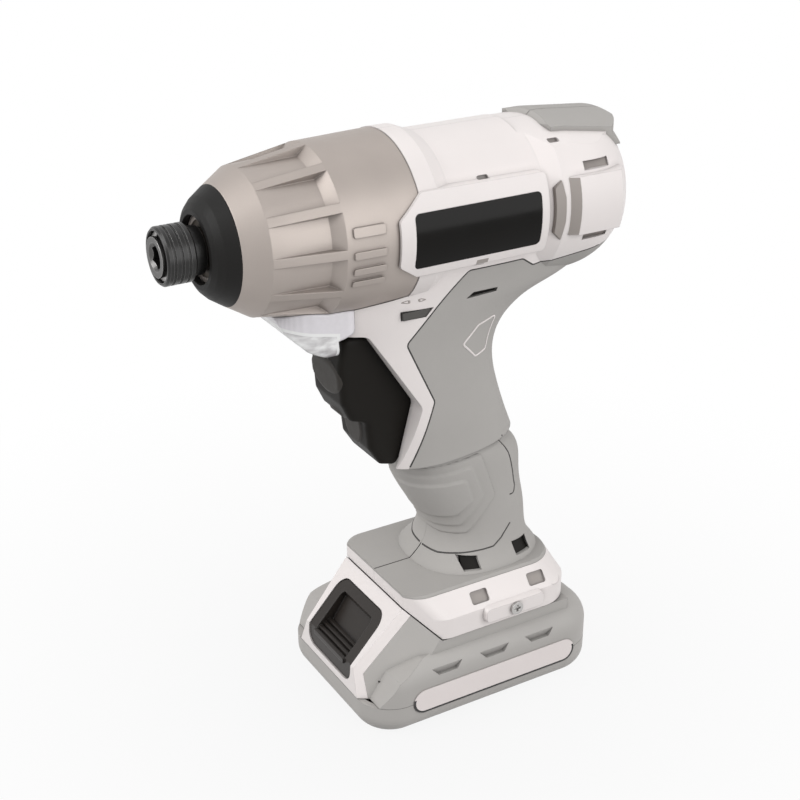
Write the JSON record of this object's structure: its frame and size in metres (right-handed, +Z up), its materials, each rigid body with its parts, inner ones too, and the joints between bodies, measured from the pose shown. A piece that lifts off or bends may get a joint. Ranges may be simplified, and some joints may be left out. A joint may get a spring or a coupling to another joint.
{
  "type": "cordless impact driver",
  "caption": "Pistol-grip cordless impact driver with a quick-change hex nose, trigger, direction selector and a slide-on battery foot, with its motor, planetary gears and hammer inside.",
  "frame": {"origin": "on the table under the middle of the tool, below the drive axis", "axes": "+X towards the nose along the drive axis, +Y to the tool's left, +Z up"},
  "size_m": [0.158, 0.0666, 0.1992],
  "materials": {
    "white_shell": "fine moulded satin",
    "grey_rubber": "soft matt",
    "black_gloss": "gloss",
    "vent_grey": "satin",
    "screw_steel": "zinc plated",
    "clear_cover": "clear, milky",
    "board_green": "solder mask",
    "cast_case": "cast, satin painted",
    "black_rubber": "soft matt",
    "bush_bronze": "sintered",
    "plain_steel": "ground",
    "dark_steel": "hardened, oil black",
    "ball_steel": "polished",
    "black_sleeve": "black oxide",
    "spring_steel": "drawn wire",
    "gear_steel": "sintered",
    "black_nylon": "moulded",
    "can_steel": "zinc plated",
    "ferrite": "ground ferrite",
    "core_iron": "stacked sheets",
    "copper": "enamelled copper",
    "carbon": "pressed carbon",
    "black_plastic": "fine moulded satin",
    "selector_grey": "satin",
    "contact_brass": "tinned",
    "grey_plastic": "fine moulded satin",
    "strip_white": "satin",
    "button_dark": "satin",
    "cell_wrap": "shrink wrapped",
    "strap_nickel": "nickel strip"
  },
  "bodies": {
    "tool_body": {"housing_left": "white_shell", "housing_right": "white_shell", "grip_left": "grey_rubber", "grip_right": "grey_rubber", "rear_bumpers": "grey_rubber", "side_panels": "black_gloss", "vent_inserts": "vent_grey", "housing_screws": "screw_steel", "boss_screw": "screw_steel", "light_lens": "clear_cover", "light_board": "board_green", "hammer_case": "cast_case", "nose_boot": "black_rubber", "anvil_bush": "bush_bronze", "thrust_washer": "plain_steel", "ring_gear": "gear_steel", "gear_plate": "black_nylon", "spindle_bearing": "plain_steel", "motor_can": "can_steel", "motor_magnets": "ferrite", "motor_bearings": "plain_steel", "brush_plate": "black_nylon", "brushes": "carbon", "switch_module": "black_nylon", "trigger_spring": "spring_steel", "terminal_block": "black_nylon", "terminal_blades": "contact_brass"},
    "spindle": {"cam_spindle": "plain_steel", "planet_pins": "plain_steel", "cam_balls": "ball_steel", "spring_washer": "plain_steel", "hammer_spring": "spring_steel"},
    "planet_1": {"planet_gear_1": "gear_steel"},
    "planet_2": {"planet_gear_2": "gear_steel"},
    "planet_3": {"planet_gear_3": "gear_steel"},
    "hammer": {"hammer": "dark_steel"},
    "anvil": {"anvil": "dark_steel", "bit_balls": "ball_steel", "snap_ring": "spring_steel", "collet_spring": "spring_steel"},
    "collet": {"collet_sleeve": "black_sleeve"},
    "rotor": {"motor_shaft": "plain_steel", "armature_core": "core_iron", "armature_windings": "copper", "commutator": "copper", "cooling_fan": "black_nylon", "pinion": "gear_steel"},
    "trigger": {"trigger": "black_plastic"},
    "selector": {"direction_selector": "selector_grey"},
    "battery": {"battery_upper_case": "grey_plastic", "battery_tray": "grey_plastic", "battery_front_panel": "white_shell", "side_strips": "strip_white", "battery_cells": "cell_wrap", "cell_straps": "strap_nickel", "battery_board": "board_green", "battery_contacts": "contact_brass", "battery_screws": "screw_steel", "latch_spring": "spring_steel"},
    "release": {"release_button": "button_dark"}
  },
  "joints": [
    {"name": "spindle_spin", "type": "hinge", "parent": "tool_body", "child": "spindle", "pos_m": [0, 0, 0.172], "axis": [1, 0, 0], "continuous": true},
    {"name": "rotor_spin", "type": "hinge", "parent": "tool_body", "child": "rotor", "pos_m": [0, 0, 0.172], "axis": [1, 0, 0], "continuous": true},
    {"name": "planet_1_spin", "type": "hinge", "parent": "spindle", "child": "planet_1", "pos_m": [0, 0.012, 0.172], "axis": [1, 0, 0], "continuous": true},
    {"name": "planet_2_spin", "type": "hinge", "parent": "spindle", "child": "planet_2", "pos_m": [0, -0.006, 0.18239], "axis": [1, 0, 0], "continuous": true},
    {"name": "planet_3_spin", "type": "hinge", "parent": "spindle", "child": "planet_3", "pos_m": [0, -0.006, 0.16161], "axis": [1, 0, 0], "continuous": true},
    {"name": "anvil_spin", "type": "hinge", "parent": "tool_body", "child": "anvil", "pos_m": [0, 0, 0.172], "axis": [1, 0, 0], "continuous": true},
    {"name": "hammer_slide", "type": "slide", "parent": "spindle", "child": "hammer", "axis": [-1, 0, 0], "range_m": [0, 0.007], "stiffness_N_per_m": 8000, "springref_m": -0.003, "deforming": ["hammer_spring"]},
    {"name": "collet_slide", "type": "slide", "parent": "anvil", "child": "collet", "axis": [1, 0, 0], "range_m": [0, 0.003], "stiffness_N_per_m": 1200, "springref_m": -0.001, "deforming": ["collet_spring"]},
    {"name": "trigger_slide", "type": "slide", "parent": "tool_body", "child": "trigger", "axis": [-1, 0, 0], "range_m": [0, 0.006], "stiffness_N_per_m": 800, "springref_m": -0.002, "deforming": ["trigger_spring"]},
    {"name": "selector_slide", "type": "slide", "parent": "tool_body", "child": "selector", "axis": [0, 1, 0], "range_m": [-0.0035, 0.0035]},
    {"name": "battery_slide", "type": "slide", "parent": "tool_body", "child": "battery", "axis": [1, 0, 0], "range_m": [0, 0.08]},
    {"name": "latch_press", "type": "slide", "parent": "battery", "child": "release", "axis": [-1, 0, 0], "range_m": [0, 0.0025], "stiffness_N_per_m": 1200, "springref_m": -0.001, "deforming": ["latch_spring"]}
  ],
  "couplings": [
    {"joint": "rotor_spin", "follows": "spindle_spin", "ratio": 5},
    {"joint": "anvil_spin", "follows": "spindle_spin", "ratio": 1},
    {"joint": "planet_1_spin", "follows": "spindle_spin", "ratio": -2.6667},
    {"joint": "planet_2_spin", "follows": "spindle_spin", "ratio": -2.6667},
    {"joint": "planet_3_spin", "follows": "spindle_spin", "ratio": -2.6667}
  ]
}
